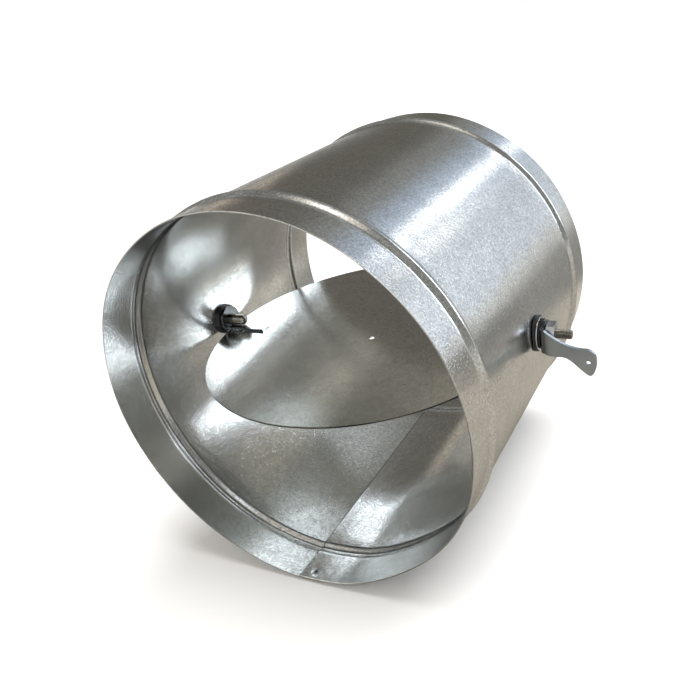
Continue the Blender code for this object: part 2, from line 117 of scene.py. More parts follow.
def bearings(tree, vector):
    """A direction's bearing from +Y towards +X and its height above level, both in degrees."""
    line = add(tree, "VectorMath", {0: vector}, operation="NORMALIZE").outputs[0]
    split = add(tree, "SeparateXYZ", {0: line}).outputs
    bearing = add(tree, "Math", {0: split[0], 1: split[1]}, operation="ARCTAN2").outputs[0]
    height = add(tree, "Math", {0: split[2]}, operation="ARCSINE").outputs[0]
    degrees = [add(tree, "Math", {0: angle}, operation="DEGREES") for angle in (bearing, height)]
    return [node.outputs[0] for node in degrees]


def painted(tree, angles, colour, patches):
    """A colour with soft-edged patches over it, each placed by its bearing and height in degrees.

    A patch has a middle, half sizes, the width of its soft edge, a lean and a colour. It is 1
    inside and fades to 0 over the edge. The lean moves its middle sideways per degree of height.
    """
    for middle, half, edge, lean, patch in patches:
        rise = add(tree, "Math", {0: angles[1], 1: middle[1]}, operation="SUBTRACT").outputs[0]
        shift = {0: rise, 1: lean, 2: middle[0]}
        shift = add(tree, "Math", shift, operation="MULTIPLY_ADD").outputs[0]
        aside = add(tree, "Math", {0: angles[0], 1: shift}, operation="SUBTRACT").outputs[0]
        sides = []
        for away, reach in zip((aside, rise), half):
            away = add(tree, "Math", {0: away}, operation="ABSOLUTE").outputs[0]
            fade = {0: away, 1: reach - edge / 2, 2: reach + edge / 2, 3: 1.0, 4: 0.0}
            sides.append(add(tree, "MapRange", fade, interpolation_type="SMOOTHSTEP").outputs[0])
        mask = add(tree, "Math", {0: sides[0], 1: sides[1]}, operation="MULTIPLY").outputs[0]
        mixed = {"Factor": mask, "A": colour, "B": patch}
        colour = add(tree, "Mix", mixed, data_type="RGBA").outputs[2]
    return colour


world = bpy.data.worlds.new("room")
bpy.context.scene.world = world
world.use_nodes = True
room = world.node_tree
room.nodes.clear()
direction = add(room, "TexCoord").outputs["Generated"]
room_colour = painted(
    room,
    bearings(room, direction),
    tone("#b9b6b1"),
    (
        ((-138, 28), (15, 24), 8, 0.0, tone("#fffaf2", 2.4)),
        ((146, 32), (13, 22), 8, 0.0, tone("#f4f8ff", 2.0)),
        ((118, 15), (8, 30), 8, 0.0, tone("#6e6d6a")),
        ((0, 20), (105, 75), 20, 0.0, tone("#8f8f8b")),
        ((0, 57), (75, 5), 6, 0.0, tone("#716f6a")),
        ((0, 86), (200, 14), 8, 0.0, tone("#f2e8da")),
        ((0, 93), (200, 10), 5, 0.0, tone("#ffffff", 2.4)),
        ((-28, 22), (16, 15), 9, 0.0, tone("#6a665f")),
        ((-40, 9), (4, 2.5), 2.5, 0.25, tone("#d8c8b4")),
        ((12, 23), (12, 13), 10, 0.0, tone("#bfcde0")),
        ((29, 5), (14, 18), 8, 0.0, tone("#dfe6ee", 1.02)),
        ((2, 47), (24, 3.5), 7, 0.0, tone("#c6c9c8")),
        ((-50.5, 2), (2.2, 7.5), 2.5, 0.0, tone("#fff6e8", 3.0)),
        ((43.6, 23.5), (5.7, 18.5), 3, -0.43, tone("#eef4fb", 6.5)),
        ((53.5, 2), (5, 5), 3, 0.0, tone("#66502f")),
        ((31, 44), (4.5, 2), 2, 0.0, tone("#fff4d8", 2.2)),
        ((11.3, 25), (2.8, 5.5), 3, 0.5, tone("#f8fbff", 2.8)),
        ((19.5, 23.5), (2.5, 3.5), 2.5, 0.0, tone("#ffffff", 2.0)),
    ),
)
seen = add(room, "LightPath").outputs["Is Camera Ray"]
room_colour = {"Factor": seen, "A": room_colour, "B": tone("#ffffff")}
room_colour = add(room, "Mix", room_colour, data_type="RGBA").outputs[2]
add(room, "OutputWorld", {0: add(room, "Background", {"Color": room_colour}).outputs[0]})

lamp_data = bpy.data.lights.new("ceiling_lamp", "SUN")
lamp_data.angle = LAMP_SPREAD
lamp_data.energy = LAMP_STRENGTH
lamp = bpy.data.objects.new("ceiling_lamp", lamp_data)
bpy.context.scene.collection.objects.link(lamp)
lamp.rotation_euler = Vector(LAMP_PLACE).to_track_quat("Z", "Y").to_euler()
lamp.visible_glossy = False

floor_mesh = bpy.data.meshes.new("studio_floor")
floor_corners = np.array([(-1, -1), (1, -1), (1, 1), (-1, 1)]) * FLOOR_SIZE / 2
floor_mesh.from_pydata([(x, y, FLOOR_Z) for x, y in floor_corners], [], [(0, 1, 2, 3)])
floor = bpy.data.objects.new("studio_floor", floor_mesh)
bpy.context.scene.collection.objects.link(floor)
floor_paint = bpy.data.materials.new("pale_floor_paint_with_painted_reflections")
floor_paint.use_nodes = True
floor_tree = floor_paint.node_tree
floor_shader = floor_tree.nodes["Principled BSDF"]
floor_place = add(floor_tree, "TexCoord").outputs["Object"]
# Painted reflections: dim patches of shade and bright patches of glare that the floor shows only to
# mirrored rays, for the metal to reflect. The camera sees the floor evenly pale.
shown = painted(
    floor_tree,
    bearings(floor_tree, floor_place),
    tone("#9c958a"),
    (
        ((0, 2), (180, 8), 4, 0.0, tone("#adaca8")),
        ((27, -11), (19, 6), 4, 0.0, tone("#777570")),
        ((49, -9), (5, 6), 3, 0.0, tone("#7d776e")),
        ((16, -20), (10, 3), 5, 0.0, tone("#bcb6ac")),
        ((-6, -26), (16, 8), 8, 0.0, tone("#716e68")),
        ((-32, -26), (10, 7), 7, 0.0, tone("#67645e")),
        ((-20, -42), (24, 7), 8, 0.0, tone("#b0b6b7")),
        ((41, -18), (3, 2), 2, 0.0, tone("#4d4a45")),
        ((-54, -4), (6, 4.5), 3, 0.0, tone("#2f2d29")),
        ((40, -7), (4, 3.5), 3, 0.0, tone("#55534e")),
        ((167, -30), (11, 12), 10, 0.0, tone("#55534f")),
    ),
)
mirrored = add(floor_tree, "LightPath").outputs["Is Glossy Ray"]
floor_colour = {"Factor": mirrored, "A": tone(FLOOR_PALE), "B": shown}
floor_colour = add(floor_tree, "Mix", floor_colour, data_type="RGBA").outputs[2]
floor_tree.links.new(floor_colour, floor_shader.inputs["Base Color"])
floor_shader.inputs["Roughness"].default_value = 0.9
floor_mesh.materials.append(floor_paint)
bpy.context.scene.view_settings.view_transform = "Standard"


# The duct wall: galvanised mild steel, 0.8 mm thick, rolled round and lapped along the bottom,
# where spot welds hold it. A ridge rolled outwards near each end stops the joining ducts. The
# rolls left the wall flatter to the right of the lap, and both ends bent slightly.

RADIUS = 0.125
LENGTH = 0.248
SHEET = 0.0008
BEAD_FROM_EDGE = 0.030
BEAD_WIDTH = 0.011
BEAD_HEIGHT = 0.0022
SEAM_ANGLE = math.radians(265)
SEAM_LAP = 0.016
FLAT_FROM_SEAM = math.radians(38)
FLAT_SPREAD = math.radians(14)
FLAT_DEPTH = 0.0035
LAP_HOLLOW = 0.0002
LAP_HOLLOW_REACH = 0.010
LAP_STEP = 0.3 * SHEET
EDGE_ROUND = 0.00012
LONG_WAVE = 0.00022
RIM_WAVE = 0.00016
DRAWN_IN = 0.00035
WELD_FROM_SEAM = 0.0084
WELD_FROM_EDGE = 0.0061
WELD_RADIUS = 0.0026
WELD_DEPTH = 0.0007
WELD_STEEPNESS = 1.4
BURN = 0.8
BURN_RADIUS = 0.0010
BURN_SOFT = 0.0011
# Dirt and painted shade along the inner sheet's cut edge at the lap: how far they reach, farther at
# the rims.
DIRT_AND_SHADE_REACH = 0.0006
DIRT_AND_SHADE_REACH_AT_RIM = 0.0012
DIRT_AND_SHADE_RIM_SPREAD = 0.0015
DIRT_AND_SHADE_ON_LAP = 0.00015
SHAFT_Y = frame["joints"][0]["pos_m"][1]
SHAFT_Z = frame["joints"][0]["pos_m"][2]


def skin(name, grid, around=True, along=False, merge=1e-6):
    """A mesh object over a grid of points, rows x columns x 3, with a face between each four.

    around joins the last column to the first, and along joins the last row to the first. Points
    that fall together, as at a pole, are merged, and the faces are turned outwards.
    """
    rows, columns = grid.shape[:2]
    index = np.arange(rows * columns).reshape(rows, columns)
    below = index if along else index[:-1]
    above = np.roll(index, -1, axis=0) if along else index[1:]
    if around:
        after_below, after_above = np.roll(below, -1, axis=1), np.roll(above, -1, axis=1)
    else:
        after_below, after_above = below[:, 1:], above[:, 1:]
        below, above = below[:, :-1], above[:, :-1]
    quads = np.stack([below, after_below, after_above, above], axis=-1).reshape(-1, 4)
    mesh = bpy.data.meshes.new(name)
    mesh.vertices.add(rows * columns)
    mesh.vertices.foreach_set("co", grid.reshape(-1).astype(np.float32))
    mesh.loops.add(quads.size)
    mesh.loops.foreach_set("vertex_index", quads.reshape(-1).astype(np.int32))
    mesh.polygons.add(len(quads))
    mesh.polygons.foreach_set("loop_start", np.arange(0, quads.size, 4, dtype=np.int32))
    mesh.update(calc_edges=True)
    mesh.validate()
    tidy = bmesh.new()
    tidy.from_mesh(mesh)
    bmesh.ops.remove_doubles(tidy, verts=tidy.verts, dist=merge)
    open_edges = [edge for edge in tidy.edges if len(edge.link_faces) == 1]
    if open_edges:
        bmesh.ops.holes_fill(tidy, edges=open_edges, sides=0)
    bmesh.ops.recalc_face_normals(tidy, faces=tidy.faces)
    tidy.to_mesh(mesh)
    tidy.free()
    made = bpy.data.objects.new(name, mesh)
    bpy.context.scene.collection.objects.link(made)
    return made


def finish_edges(piece, angle=35.0):
    """Smooth shading that stays crisp at edges sharper than angle."""
    piece.data.shade_smooth()
    piece.data.set_sharp_from_angle(angle=math.radians(angle))


def ease(value):
    """0 below 0, 1 above 1, and 3t² - 2t³ between."""
    t = np.clip(value, 0.0, 1.0)
    return t * t * (3 - 2 * t)


def bead_rise(y):
    """Height of the rolled ridges at y: a squared cosine across each one's width."""
    share = (LENGTH / 2 - np.abs(y) - BEAD_FROM_EDGE) / (BEAD_WIDTH / 2)
    return BEAD_HEIGHT * np.cos(np.clip(share, -1, 1) * math.pi / 2) ** 2


def wall_section():
    """Angles round the wall with its outer and inner radius, the lap's two steps included.

    Both radii lose a bell-shaped hollow beside the lap: depth x exp(-(angle / spread)² / 2). Each
    sheet also sinks by depth x s exp(1 - s) just beside its edge, where s is the distance from the
    seam over the hollow's reach. Over the lap there are two sheets. Past the outer one's edge the
    inner one eases back out. The angles lie ever closer together towards the seam.
    """
    lap = SEAM_LAP / RADIUS
    edge = LAP_STEP / RADIUS
    full = 2 * math.pi
    near_seam = full - edge - 0.002 * (np.geomspace(60, 1, 24) - 1)
    rest = np.linspace(lap + edge, near_seam[0], 432)[:-1]
    turn = np.concatenate([np.linspace(0, lap, 28), rest, near_seam])
    sink = FLAT_DEPTH * np.exp(-(((turn - FLAT_FROM_SEAM) / FLAT_SPREAD) ** 2) / 2)
    beside = np.minimum(turn, full - turn) * RADIUS / LAP_HOLLOW_REACH
    sink = sink + LAP_HOLLOW * beside * np.exp(1 - beside)
    lapped = turn <= lap
    drop = np.where(lapped, 0.0, SHEET * (1 - ease((turn - lap - edge) / (1.5 * lap))))
    outer = RADIUS - sink - drop
    inner = outer - np.where(lapped, 2, 1) * SHEET
    return SEAM_ANGLE + turn, outer, inner


def wall_rows():
    """Places along the wall: close together at the ridges and the cut edges, wider elsewhere."""
    half = LENGTH / 2
    bead = np.linspace(-BEAD_WIDTH / 2, BEAD_WIDTH / 2, 15) + BEAD_FROM_EDGE - half
    collar = np.linspace(-half + 10 * EDGE_ROUND, bead[0], 17)[:-1]
    front = np.concatenate([[-half, -half + EDGE_ROUND], collar, bead])
    middle = np.linspace(bead[-1], -bead[-1], 16)[1:-1]
    return np.concatenate([front, middle, -front[::-1]])


def wall_bend(angle, y):
    """Slight out-of-true of the rolled sheet: three long waves round it, and nine at each rim.

    The rims' waves fade as the fourth power of the distance from the middle. The whole wall is
    drawn in a little, so that no wave stands out past the solid's box.
    """
    end = np.abs(y) / (LENGTH / 2)
    long_wave = LONG_WAVE * np.sin(3 * angle + 0.7 + 1.5 * y / LENGTH)
    rim_wave = RIM_WAVE * np.sin(9 * angle + 2.0 * np.sign(y)) * end**4
    return long_wave + rim_wave - DRAWN_IN


def weld_dent(angle, y):
    """Shallow dishes that the spot welds press: depth x exp(-1.4 (distance / radius)²)."""
    dent = 0.0
    for weld_y in (-LENGTH / 2 + WELD_FROM_EDGE, LENGTH / 2 - WELD_FROM_EDGE):
        across = (angle - SEAM_ANGLE) * RADIUS - WELD_FROM_SEAM
        away = np.hypot(across, y - weld_y) / WELD_RADIUS
        dent = dent + WELD_DEPTH * np.exp(-(away**2) * WELD_STEEPNESS)
    return dent


angle, outer_radius, inner_radius = wall_section()
y_rows = wall_rows()
angle_grid, y_grid = np.meshgrid(angle, y_rows, indexing="ij")
lift = bead_rise(y_grid) + wall_bend(angle_grid, y_grid)
round_off = np.where(np.abs(y_grid) > LENGTH / 2 - 1e-6, EDGE_ROUND, 0.0)
outside = outer_radius[:, None] + lift - round_off
inside = inner_radius[:, None] + lift + round_off + weld_dent(angle_grid, y_grid)
radii = np.concatenate([outside, inside[:, ::-1]], axis=1)
lengths = np.concatenate([y_grid, y_grid[:, ::-1]], axis=1)
turns = np.concatenate([angle_grid, angle_grid[:, ::-1]], axis=1)
wall_points = np.stack([radii * np.cos(turns), lengths, radii * np.sin(turns)], axis=-1)
duct_wall = skin("duct_wall", wall_points, around=True, along=True)


def mark_dirt_and_shade(piece, share):
    """Writes each point's share of dirt and painted shade, from 0 to 1, as a point attribute."""
    mesh = piece.data
    place = np.empty(len(mesh.vertices) * 3, dtype=np.float32)
    mesh.vertices.foreach_get("co", place)
    dirt_and_painted_shade = mesh.attributes.new("dirt_and_painted_shade", "FLOAT", "POINT")
    value = np.clip(share(*place.reshape(-1, 3).T), 0, 1)
    dirt_and_painted_shade.data.foreach_set("value", value.astype(np.float32))


def wall_dirt_and_shade(x, y, z):
    """Dirt and painted shade in the corner beside the inner sheet's cut edge, and the burnt spot
    welds.

    The dirt and painted shade fade as exp(-distance / reach), where the reach is 0.6 mm and grows
    to
    1.8 mm at the rims. A weld is burnt over a disc of about 1.6 mm radius with a soft edge.
    """
    across = (np.mod(np.arctan2(z, x), 2 * math.pi) - SEAM_ANGLE) * RADIUS
    inner = np.hypot(x, z) < RADIUS - 0.7 * SHEET + bead_rise(y)
    from_rim = LENGTH / 2 - np.abs(y)
    reach = DIRT_AND_SHADE_REACH + DIRT_AND_SHADE_REACH_AT_RIM * np.exp(-from_rim / DIRT_AND_SHADE_RIM_SPREAD)
    # Dirt and painted shade in the corner at the lap's inner edge.
    joint = np.where(across < DIRT_AND_SHADE_ON_LAP, np.exp(-np.abs(across) / reach), 0.0)
    from_weld = np.hypot(across - WELD_FROM_SEAM, from_rim - WELD_FROM_EDGE)
    return (joint + BURN * (1 - ease((from_weld - BURN_RADIUS) / BURN_SOFT))) * inner


mark_dirt_and_shade(duct_wall, wall_dirt_and_shade)


def new_finish(name):
    """A new material, its node tree, its shader and the socket that gives each point's place."""
    made = bpy.data.materials.new(name)
    made.use_nodes = True
    tree = made.node_tree
    return made, tree, tree.nodes["Principled BSDF"], add(tree, "TexCoord").outputs["Object"]


def galvanised(name, base, dim, grain, rough):
    """Hot-dip galvanised mild steel sheet with a minimised spangle, passed through rolls.

    Zinc crystals about 1 mm across each lie at their own tilt, so the eye sees a fine mottle of
    lighter and darker flecks where the room's tones change, and an even tone where they don't.
    Clouds 14 mm across and faint handling marks 90 mm across lie over a mottle of 1.2 mm. Where the
    attribute is set the colour turns dark: burnt welds, bare cut steel, and dirt with painted shade
    at the lap.
    """
    made, tree, shader, place = new_finish(name)
    crystals = add(tree, "TexVoronoi", {"Vector": place, "Scale": 1 / grain, "Randomness": 1.0})
    fleck = add(tree, "SeparateColor", {0: crystals.outputs["Color"]})
    clouds = add(tree, "TexNoise", {"Vector": place, "Scale": 70, "Detail": 5, "Roughness": 0.6})
    broad = add(tree, "TexNoise", {"Vector": place, "Scale": 11, "Detail": 3, "Roughness": 0.5})
    fine = add(tree, "TexNoise", {"Vector": place, "Scale": 850, "Detail": 3, "Roughness": 0.65})
    mottle = {0: fine.outputs[0], 1: 2.0, 2: fleck.outputs[0]}
    mottle = add(tree, "Math", mottle, operation="MULTIPLY_ADD").outputs[0]
    mottle = add(tree, "Math", {0: mottle, 1: clouds.outputs[0]}, operation="ADD").outputs[0]
    shade = add(tree, "MapRange", {"Value": mottle, "From Min": 1.3, "From Max": 2.7}).outputs[0]
    tint = add(tree, "Mix", {"Factor": shade, "A": tone(dim), "B": tone(base)}, data_type="RGBA")
    stain = {"Value": broad.outputs[0], "From Min": 0.35, "From Max": 0.7, "To Min": 0.92}
    stain = add(tree, "MapRange", stain)
    stained = {"Factor": 1.0, "A": tint.outputs[2], "B": stain.outputs[0]}
    stained = add(tree, "Mix", stained, data_type="RGBA", blend_type="MULTIPLY")
    # Dirt and painted shade: the base turns towards near-black where the attribute is set.
    dirt_and_shade = add(tree, "Attribute", attribute_name="dirt_and_painted_shade").outputs["Fac"]
    final = {"Factor": dirt_and_shade, "A": stained.outputs[2], "B": tone("#262624")}
    final = add(tree, "Mix", final, data_type="RGBA")
    gloss = add(tree, "MapRange", {"Value": shade, "To Min": rough + 0.05, "To Max": rough - 0.04})
    relief = add(tree, "Math", {0: fleck.outputs[1], 1: 0.5}, operation="MULTIPLY").outputs[0]
    relief = add(tree, "Math", {0: relief, 1: fine.outputs[0]}, operation="ADD").outputs[0]
    bump = add(tree, "Bump", {"Height": relief, "Strength": 0.25, "Distance": 0.0002})
    tree.links.new(final.outputs[2], shader.inputs["Base Color"])
    tree.links.new(gloss.outputs[0], shader.inputs["Roughness"])
    tree.links.new(bump.outputs[0], shader.inputs["Normal"])
    shader.inputs["Metallic"].default_value = 1.0
    return made


wall_zinc = galvanised("galvanised_wall_sheet", "#f6f8f8", "#c4c6c5", 0.0010, 0.17)


def fit(piece, body, node, material, angle=35.0):
    """Gives a piece its shading and finish, and puts it on its body in place of its solid."""
    finish_edges(piece, angle)
    piece.data.materials.append(material)
    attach(piece, body)
    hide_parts(node)


fit(duct_wall, "duct", "casing", wall_zinc, 40)


# The blade: a flat disc of galvanised sheet, 1.2 mm thick, cut on a circle shear and just clear of
# the wall all round. One small hole near the shaft line is left from its handling. The brackets
# hold it a little below the shaft line, and at rest it leans a few degrees.

BLADE_TILT = math.radians(3.2)
BLADE_RADIUS = 0.119
BLADE_SHEET = 0.0012
BLADE_TOP = -0.0070
BLADE_BEHIND_SHAFT = 0.0055
BLADE_HOLE_PLACE = (0.008, -0.005)
BLADE_HOLE_RADIUS = 0.00225
BLADE_BOW = 0.00025
BLADE_EDGE = 0.0003
BLADE_CUT_SHARE = 0.9998
SHEARED_GREY = 0.85


def on_shaft(points, lean=BLADE_TILT):
    """Points from the shaft's own place to the duct's: leaned about the shaft line, then moved."""
    x, y, z = points[..., 0], points[..., 1], points[..., 2]
    cosine, sine = math.cos(lean), math.sin(lean)
    return np.stack([x, SHAFT_Y + y * cosine - z * sine, SHAFT_Z + y * sine + z * cosine], axis=-1)


def off_shaft(y, z):
    """How far behind and above the shaft a point lies, in the leaning blade's own directions."""
    back, up = y - SHAFT_Y, z - SHAFT_Z
    cosine, sine = math.cos(BLADE_TILT), math.sin(BLADE_TILT)
    return back * cosine + up * sine, up * cosine - back * sine


def ring_section(inner, outer, low, high, edge, across=2, steps=3):
    """Closed section of a flat ring, as its points' radii and heights: a rounded rectangle.

    Each corner is a quarter circle of radius edge. across points lie along the two long faces.
    """
    radii, heights = [], []
    corners = ((outer, high, 90), (outer, low, 0), (inner, low, -90), (inner, high, -180))
    for side, level, first in corners:
        turn = np.radians(first - np.linspace(0, 90, steps + 1))
        radii.append(side - np.sign(side - (inner + outer) / 2) * edge + edge * np.cos(turn))
        heights.append(level - np.sign(level - (low + high) / 2) * edge + edge * np.sin(turn))
        if side == outer and level == low or side == inner and level == high:
            share = np.linspace(0, 1, across + 2)[1:-1]
            span = outer - inner - 2 * edge
            away = outer - edge - share * span if level == low else inner + edge + share * span
            radii.append(away)
            heights.append(np.full(across, level))
    return np.concatenate(radii), np.concatenate(heights)


def holed_disc():
    """The blade: each point is a mix of the hole's circle and the rim's, (1 - s) hole + s rim.

    The share s and the height go round a thin rounded section, on whose cut edges s is 0 and
    0.9998. The disc is bowed by half a wave along the shaft.
    """
    half = BLADE_SHEET / 2
    share, height = ring_section(0.0, 1.0, -half, half, BLADE_EDGE, across=40)
    share = np.where(np.abs(height) < half - 1e-7, np.round(share, 1) * BLADE_CUT_SHARE, share)
    turn = np.linspace(0, 2 * math.pi, 289)[:-1]
    ring = np.stack([np.cos(turn), np.sin(turn)], axis=-1)
    hole = np.array(BLADE_HOLE_PLACE) + BLADE_HOLE_RADIUS * ring
    rim = np.array((0.0, BLADE_BEHIND_SHAFT)) + BLADE_RADIUS * ring
    flat = hole + share[:, None, None] * (rim - hole)
    bow = BLADE_BOW * (np.cos(math.pi * flat[..., 0] / (2 * BLADE_RADIUS)) - 0.6)
    level = BLADE_TOP - half + height[:, None] + bow
    return on_shaft(np.concatenate([flat, level[..., None]], axis=-1))


def soiled_rim(x, y, z):
    """Grey sheared steel: the blade's cut edge, where no zinc covers it."""
    away = np.hypot(x, off_shaft(y, z)[0] - BLADE_BEHIND_SHAFT)
    return SHEARED_GREY * (away > 0.99975 * BLADE_RADIUS)


blade_zinc = galvanised("galvanised_blade_sheet", "#f2f3f0", "#c6c7c4", 0.0010, 0.15)
blade_disc = skin("blade_disc", holed_disc(), around=True, along=True)
mark_dirt_and_shade(blade_disc, soiled_rim)
fit(blade_disc, "blade_set", "blade", blade_zinc)


# The bushes: black nylon, moulded. A flanged one is pushed through the wall from inside, and a ring
# snaps on its hub from outside. The faces that meet the wall follow its curve.

WALL_GAP = 0.0003
BORE_GAP = 0.00025
PIVOT_RADIUS = 0.004
BUSH_RIM = 0.0115
BUSH_HUB = 0.006
BUSH_FACE = 0.1207
BUSH_END = 0.1261
BUSH_ROUND = 0.0003
BUSH_SEAT_MIDDLE = 0.0087
RING_FACE = 0.1263


def turned(section, side, lean=BLADE_TILT, columns=72):
    """A body turned about the shaft line: at angle a a point is (side x x, r cos a, r sin a).

    section holds the points' radii and their distances from the duct's middle, each one value for
    a point or one for each point and column.
    """
    turn = np.linspace(0, 2 * math.pi, columns + 1)[:-1]
    shape = (len(section[0]), columns)
    radius, along = (np.broadcast_to(np.atleast_2d(part.T).T, shape) for part in section)
    points = np.stack([side * along, radius * np.cos(turn), radius * np.sin(turn)], axis=-1)
    return on_shaft(points, lean)


def bush_section(radii, along, seated, wall_radius):
    """A bush's section where the seated points lie on the curved wall at each angle a.

    There the distance from the duct's middle is sqrt(wall_radius² - (shaft height + r sin a)²).
    """
    turn = np.linspace(0, 2 * math.pi, 73)[:-1]
    height = SHAFT_Z + np.outer(radii, np.sin(turn))
    seat = np.sqrt(wall_radius**2 - height**2)
    return np.array(radii), np.where(np.array(seated)[:, None], seat, np.array(along)[:, None])


def moulded_nylon():
    """Black glass-filled nylon as moulded: satin, with a spark-eroded grain of about 0.2 mm."""
    made, tree, shader, place = new_finish("black_moulded_nylon")
    grain = add(tree, "TexNoise", {"Vector": place, "Scale": 5000.0, "Detail": 2.0}).outputs[0]
    handled = add(tree, "TexNoise", {"Vector": place, "Scale": 220.0, "Detail": 4.0}).outputs[0]
    colour = {"Factor": handled, "A": tone("#0e0f10"), "B": tone("#1d1e20")}
    colour = add(tree, "Mix", colour, data_type="RGBA").outputs[2]
    gloss = add(tree, "MapRange", {0: handled, 1: 0.3, 2: 0.7, 3: 0.30, 4: 0.44}).outputs[0]
    bump = add(tree, "Bump", {"Height": grain, "Strength": 0.25, "Distance": 0.00008}).outputs[0]
    tree.links.new(colour, shader.inputs["Base Color"])
    tree.links.new(gloss, shader.inputs["Roughness"])
    tree.links.new(bump, shader.inputs["Normal"])
    return made


nylon = moulded_nylon()
bore = PIVOT_RADIUS + BORE_GAP
inner_bush = bush_section(
    (bore, bore + BUSH_ROUND, BUSH_RIM - 0.0007, BUSH_RIM - BUSH_ROUND, BUSH_RIM)
    + (BUSH_RIM, BUSH_SEAT_MIDDLE, BUSH_HUB)
    + (BUSH_HUB, BUSH_HUB - 0.0004, bore + BUSH_ROUND, bore),
    (BUSH_FACE + BUSH_ROUND, BUSH_FACE, BUSH_FACE, BUSH_FACE + 0.0002, BUSH_FACE + 0.0006)
    + (0, 0, 0)
    + (BUSH_END - 0.0004, BUSH_END, BUSH_END, BUSH_END - BUSH_ROUND),
    (False,) * 5 + (True,) * 3 + (False,) * 4,
    RADIUS - SHEET - WALL_GAP,
)
collar = BUSH_HUB + BORE_GAP
outer_ring = bush_section(
    (collar, BUSH_SEAT_MIDDLE, BUSH_RIM, BUSH_RIM, BUSH_RIM - BUSH_ROUND, collar + 0.0002, collar),
    (0, 0, 0, RING_FACE - BUSH_ROUND, RING_FACE, RING_FACE, RING_FACE - 0.0002),
    (True,) * 3 + (False,) * 4,
    RADIUS + WALL_GAP,
)
for place, side in (("idle", -1), ("drive", 1)):
    bush = skin(place + "_flanged_bush", turned(inner_bush, side, lean=0.0), along=True)
    fit(bush, "duct", place + "_inner_bush", nylon, 30)
    ring = skin(place + "_snap_ring", turned(outer_ring, side, lean=0.0), along=True)
    fit(ring, "duct", place + "_outer_bush", nylon, 30)


# The washers on each pivot: a bright zinc-plated one between the bush and the bracket, a larger one
# outside, and a thin black rubber one under the nut or the lever that gives the clamp its drag.

STUD_RADIUS = 0.0031
WASHER_EDGE = 0.00022


def plated(name, pale, dark, rough, blotch, scratch):
    """Electroplated zinc with a clear passivate on stamped or turned steel.

    The plating follows the steel under it, so the eye sees fine handling scratches and soft cloudy
    changes of gloss. Where the attribute is set the colour turns dark: painted shade.
    metres and scratch the bump's strength. The scratches are 0.3 mm wide and 2 mm long.
    """
    made, tree, shader, place = new_finish(name)
    clouds = {"Vector": place, "Scale": 1 / blotch, "Detail": 5.0, "Roughness": 0.65}
    clouds = add(tree, "TexNoise", clouds).outputs[0]
    drawn = {"Vector": place, "Rotation": (0.3, 0.9, 0.2), "Scale": (500, 3500, 3500)}
    drawn = add(tree, "Mapping", drawn).outputs[0]
    marks = add(tree, "TexNoise", {"Vector": drawn, "Scale": 1.0, "Detail": 3.0}).outputs[0]
    shade = add(tree, "MapRange", {0: clouds, 1: 0.35, 2: 0.65}).outputs[0]
    colour = {"Factor": shade, "A": tone(dark), "B": tone(pale)}
    colour = add(tree, "Mix", colour, data_type="RGBA").outputs[2]
    # Painted shade: the colour turns dark grey where the attribute is set.
    painted_shade = add(tree, "Attribute", attribute_name="dirt_and_painted_shade").outputs["Fac"]
    colour = {"Factor": painted_shade, "A": colour, "B": tone("#2e2f30")}
    colour = add(tree, "Mix", colour, data_type="RGBA").outputs[2]
    gloss = add(tree, "MapRange", {0: shade, 3: rough + 0.06, 4: rough - 0.04}).outputs[0]
    bump = add(tree, "Bump", {"Height": marks, "Strength": scratch, "Distance": 0.00005}).outputs[0]
    tree.links.new(colour, shader.inputs["Base Color"])
    tree.links.new(gloss, shader.inputs["Roughness"])
    tree.links.new(bump, shader.inputs["Normal"])
    shader.inputs["Metallic"].default_value = 1.0
    return made


def punched_rubber():
    """Black EPDM sheet, punched: matt, with a bloom that turns it slightly grey in places."""
    made, tree, shader, place = new_finish("black_epdm_rubber")
    bloom = add(tree, "TexNoise", {"Vector": place, "Scale": 400.0, "Detail": 4.0}).outputs[0]
    colour = {"Factor": bloom, "A": tone("#0b0b0c"), "B": tone("#232425")}
    colour = add(tree, "Mix", colour, data_type="RGBA").outputs[2]
    bump = add(tree, "Bump", {"Height": bloom, "Strength": 0.3, "Distance": 0.0001}).outputs[0]
    tree.links.new(colour, shader.inputs["Base Color"])
    tree.links.new(bump, shader.inputs["Normal"])
    shader.inputs["Roughness"].default_value = 0.72
    return made


bright_zinc = plated("bright_zinc_plate", "#e9ebee", "#cfd2d6", 0.15, 0.004, 0.12)
rubber = punched_rubber()
for place, side, shaft in (("idle", -1, PIVOT_RADIUS), ("drive", 1, STUD_RADIUS)):
    for kind, hole, rim, start, thick in (
        ("inner_washer", PIVOT_RADIUS, 0.0095, 0.1197, 0.0008),
        ("plain_washer", shaft, 0.0105, 0.1265, 0.0008),
        ("rubber_washer", shaft, 0.0095, 0.1275, 0.0012),
    ):
        made_of, slot = bright_zinc, "bright_zinc"
        if kind == "rubber_washer":
            made_of, slot = rubber, "black_rubber"
        section = ring_section(hole + BORE_GAP, rim, start, start + thick, WASHER_EDGE)
        washer = skin(f"{place}_{kind}_ring", turned(section, side), along=True)
        fit(washer, "blade_set", f"{place}_{kind}", made_of, 30)


# The brackets: 1.5 mm zinc-plated steel, blanked with a round eye for the pivot, folded once and
# joggled down to a tongue that is spot-welded on the blade. Painted shade darkens the eye and the
# tongue's cut edges.

BRACKET_SHEET = 0.0015
BRACKET_FACE = 0.1195
BRACKET_EYE = 0.01025
TONGUE_HALF = 0.005
TONGUE_END = 0.0325
TONGUE_BELOW = 0.0052
JOGGLE_HEIGHT = 0.0006
JOGGLE_START = 0.0120
JOGGLE_LENGTH = 0.0040
BRACKET_BEND = 0.0016
BRACKET_EDGE = 0.00018
CLOSE_ROWS = 0.009
